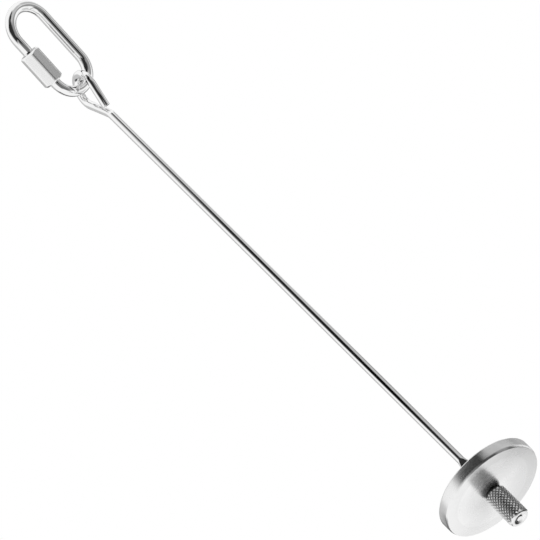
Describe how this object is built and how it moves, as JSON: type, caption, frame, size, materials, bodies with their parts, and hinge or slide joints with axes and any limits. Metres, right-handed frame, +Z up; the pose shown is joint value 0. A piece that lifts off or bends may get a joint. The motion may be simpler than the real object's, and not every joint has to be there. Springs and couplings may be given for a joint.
{
  "type": "bird food skewer",
  "caption": "Hanging steel food skewer for a bird cage: straight rod with a bent eye on an oval quick link, and a round base disc held by a knurled nut that unscrews.",
  "frame": {"origin": "inside the top of the quick link's upper bow, where it bears on the bar or hook that carries it", "axes": "+Z up along the rod, from the disc to the eye; +X in the plane of the rod's eye, towards the wire's free end"},
  "size_m": [0.0423, 0.04, 0.2788],
  "materials": {
    "link_wire": "polished stainless wire",
    "sleeve": "satin stainless hexagon bar",
    "rod": "polished stainless wire",
    "disc": "turned stainless with a fine circular grain",
    "nut": "diamond knurled stainless"
  },
  "bodies": {
    "link": {"quick_link_body": "link_wire"},
    "sleeve": {"quick_link_sleeve": "sleeve"},
    "rod": {"skewer_rod": "rod"},
    "disc": {"base_disc": "disc"},
    "nut": {"knurled_nut": "nut"}
  },
  "joints": [
    {"name": "rod_swing", "type": "hinge", "parent": "link", "child": "rod", "pos_m": [-0.01921, 0.00937, -0.02708], "axis": [-0.0629, 0.9285, 0.366], "range_deg": [-90, 150]},
    {"name": "sleeve_slide", "type": "slide", "parent": "link", "child": "sleeve", "axis": [0.5569, -0.2717, 0.7849], "range_m": [0, 0.0053]},
    {"name": "disc_slide", "type": "slide", "parent": "rod", "child": "disc", "axis": [0, 0, -1], "range_m": [0, 0.014]},
    {"name": "nut_turn", "type": "hinge", "parent": "disc", "child": "nut", "pos_m": [-0.01921, 0.00937, -0.25944], "axis": [0, 0, -1], "range_deg": [0, 10080]}
  ],
  "couplings": [
    {"joint": "nut_turn", "follows": "disc_slide", "rad_per_m": 12566}
  ]
}
